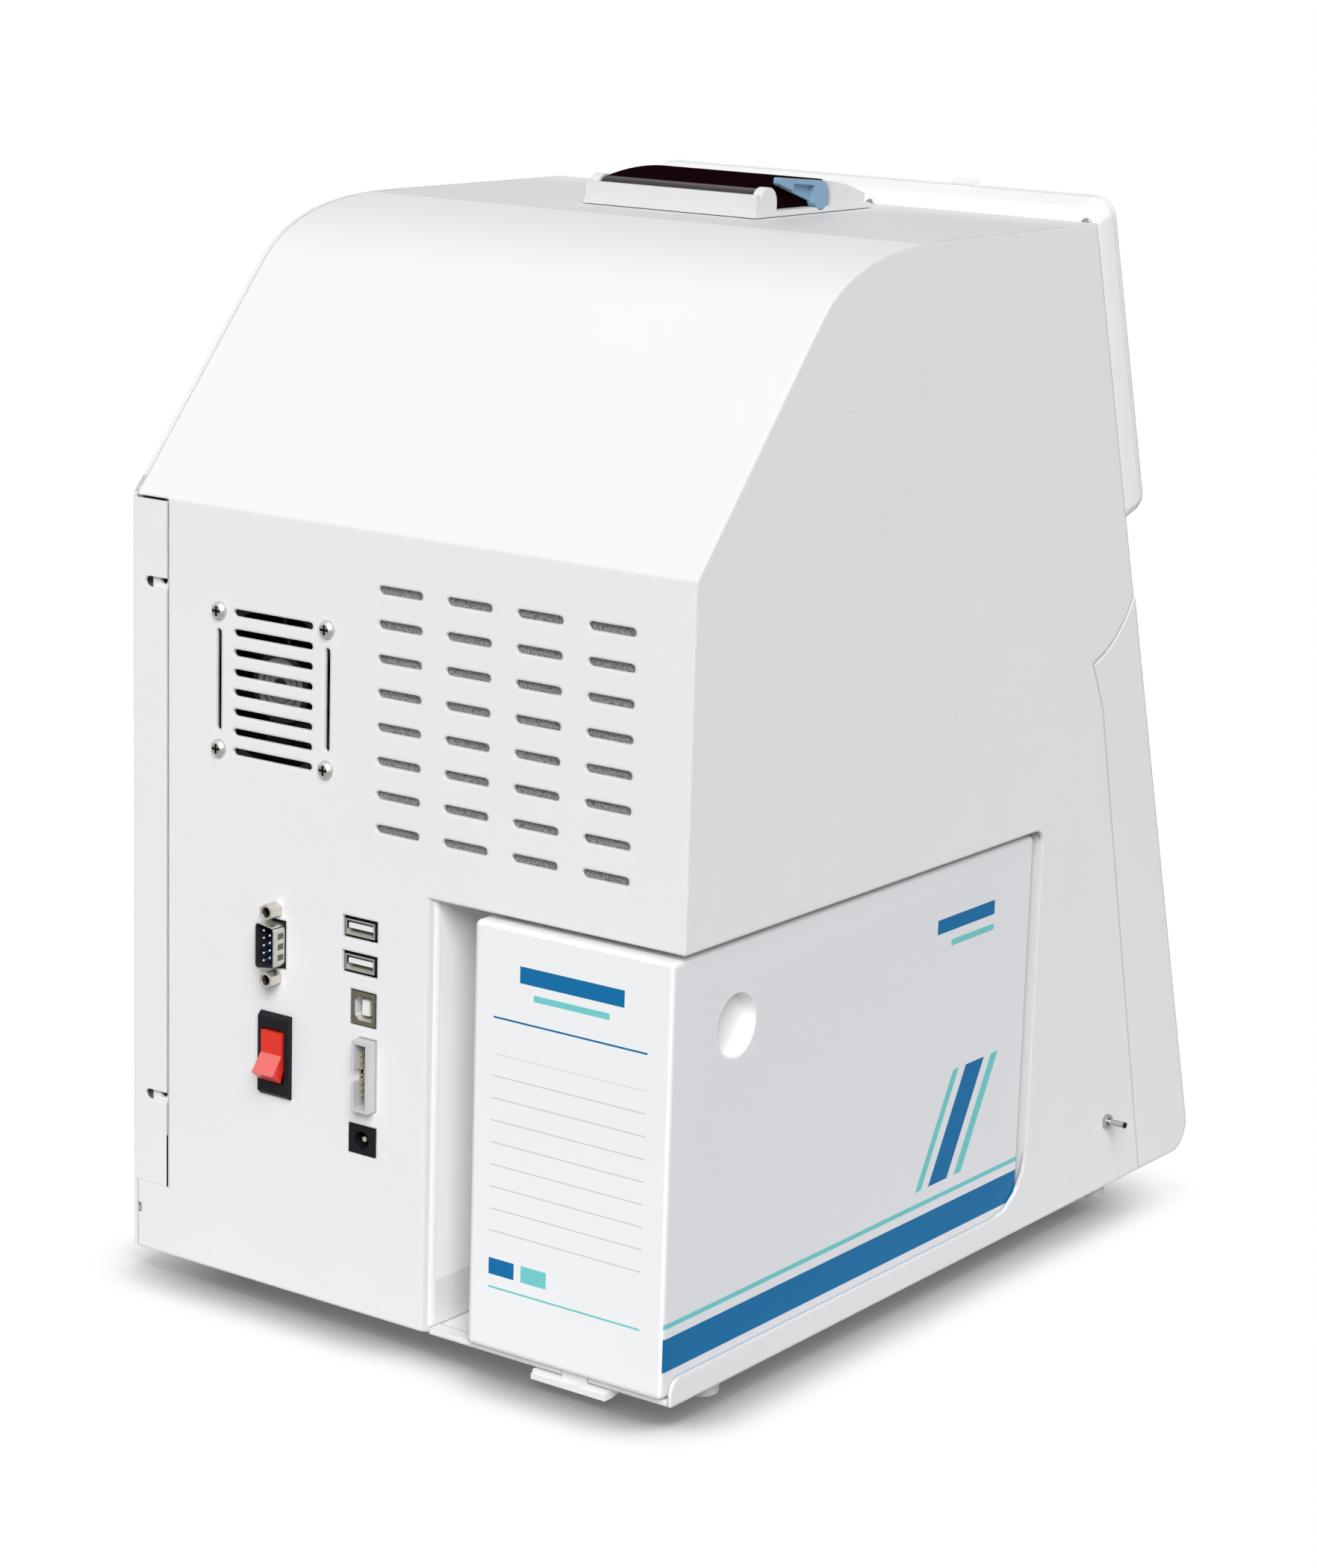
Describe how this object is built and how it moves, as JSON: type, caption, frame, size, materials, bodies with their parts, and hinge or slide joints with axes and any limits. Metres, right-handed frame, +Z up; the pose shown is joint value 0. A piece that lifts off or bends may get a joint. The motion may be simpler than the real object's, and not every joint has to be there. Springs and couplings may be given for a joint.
{
  "type": "electrolyte analyzer",
  "caption": "Bench electrolyte analyzer with a slanted touch screen, panel printer, tilting front cover and a slide-in reagent pack.",
  "frame": {"origin": "on the surface that the unit stands on, under the middle of its bounding box", "axes": "+Z up; -Y towards the user, so the screen faces -Y and the sockets and vents face +Y; the reagent pack is at the rear on the -X side"},
  "size_m": [0.256, 0.3722, 0.406],
  "materials": {
    "white_coat": "white powder coat with a fine orange peel",
    "white_plastic": "white moulded plastic, satin",
    "black_plastic": "black moulded plastic",
    "dark_lid": "dark polished plastic",
    "blue_lever": "pale blue plastic",
    "red_rocker": "red translucent plastic",
    "pack_plastic": "white moulded pack with a printed film on its side",
    "grey_foam": "open grey foam",
    "nickel": "nickel plate, satin",
    "steel": "bright steel",
    "grey_plastic": "light grey plastic",
    "dark_glass": "dark glass, switched off",
    "green_board": "green circuit board",
    "rubber": "white rubber",
    "black_rubber": "black rubber",
    "paper": "thermal paper",
    "clear_cell": "clear acrylic",
    "amber_cell": "amber acrylic"
  },
  "bodies": {
    "root": {"base_tray": "white_coat", "housing_shell": "white_coat", "side_cover": "white_coat", "monitor_back": "white_plastic", "monitor_bezel": "white_plastic", "printer_base": "white_plastic", "pump_body": "white_plastic", "probe_mount": "white_plastic", "fan_frame": "black_plastic", "serial_insert": "black_plastic", "dc_jack": "black_plastic", "switch_bezel": "black_plastic", "lcd_module": "black_plastic", "vent_filter": "grey_foam", "serial_shell": "nickel", "jack_screw_upper": "nickel", "jack_screw_lower": "nickel", "usb_b_port": "nickel", "usb_port_upper": "steel", "usb_port_lower": "steel", "fan_screw_1": "steel", "fan_screw_2": "steel", "fan_screw_3": "steel", "fan_screw_4": "steel", "drain_nipple": "steel", "nipple_nut": "steel", "cover_hinge_left": "steel", "cover_hinge_right": "steel", "data_header": "grey_plastic", "print_head": "grey_plastic", "fluid_coupler": "grey_plastic", "electrode_carrier": "grey_plastic", "touch_glass": "dark_glass", "io_board": "green_board", "main_board": "green_board", "foot_front_left": "rubber", "foot_front_right": "rubber", "foot_rear_left": "rubber", "foot_rear_right": "rubber", "electrode_2": "clear_cell", "electrode_3": "clear_cell", "electrode_4": "clear_cell", "electrode_5": "clear_cell", "valve_block": "clear_cell", "electrode_1": "amber_cell"},
    "front_cover": {"front_cover": "white_coat"},
    "reagent_pack": {"reagent_pack": "pack_plastic"},
    "pack_latch": {"pack_latch": "white_plastic"},
    "power_rocker": {"power_rocker": "red_rocker"},
    "printer_lid": {"printer_lid": "dark_lid"},
    "platen": {"platen_roller": "black_rubber"},
    "release_lever": {"release_lever": "blue_lever"},
    "paper_roll": {"paper_roll": "paper"},
    "fan_rotor": {"fan_rotor": "black_plastic"},
    "pump_rotor": {"pump_rotor": "grey_plastic"},
    "sample_probe": {"sample_probe": "steel"}
  },
  "joints": [
    {"name": "front_cover_tilt", "type": "hinge", "parent": "root", "child": "front_cover", "pos_m": [0.0045, -0.17616, 0.017], "axis": [1, 0, 0], "range_deg": [0, 75]},
    {"name": "reagent_pack_slide", "type": "slide", "parent": "root", "child": "reagent_pack", "axis": [0, 1, 0], "range_m": [0, 0.235]},
    {"name": "pack_latch_press", "type": "hinge", "parent": "root", "child": "pack_latch", "pos_m": [-0.077, 0.15786, 0.004], "axis": [-1, 0, 0], "range_deg": [0, 4], "stiffness_Nm_per_rad": 0.1, "springref_deg": -5.73},
    {"name": "power_rocker_tilt", "type": "hinge", "parent": "root", "child": "power_rocker", "pos_m": [0.0584, 0.17816, 0.0955], "axis": [-1, 0, 0], "range_deg": [0, 36.6]},
    {"name": "printer_lid_open", "type": "hinge", "parent": "root", "child": "printer_lid", "pos_m": [0.00665, 0.01596, 0.3976], "axis": [-1, 0, 0], "range_deg": [0, 90]},
    {"name": "platen_spin", "type": "hinge", "parent": "printer_lid", "child": "platen", "pos_m": [0.00665, -0.02044, 0.3973], "axis": [1, 0, 0], "continuous": true},
    {"name": "release_lever_lift", "type": "hinge", "parent": "root", "child": "release_lever", "pos_m": [-0.03025, -0.01844, 0.3986], "axis": [1, 0, 0], "range_deg": [0, 40], "stiffness_Nm_per_rad": 0.01, "springref_deg": -11.46},
    {"name": "paper_roll_spin", "type": "hinge", "parent": "root", "child": "paper_roll", "pos_m": [0.00665, 0.00076, 0.3706], "axis": [1, 0, 0], "continuous": true},
    {"name": "fan_spin", "type": "hinge", "parent": "root", "child": "fan_rotor", "pos_m": [0.0617, 0.16386, 0.229], "axis": [0, 1, 0], "continuous": true},
    {"name": "pump_spin", "type": "hinge", "parent": "root", "child": "pump_rotor", "pos_m": [-0.0715, -0.14559, 0.07053], "axis": [0, -0.9678, 0.2516], "continuous": true},
    {"name": "sample_probe_swing", "type": "hinge", "parent": "root", "child": "sample_probe", "pos_m": [0.0045, -0.11544, 0.18255], "axis": [-1, 0, 0], "range_deg": [0, 35]}
  ]
}
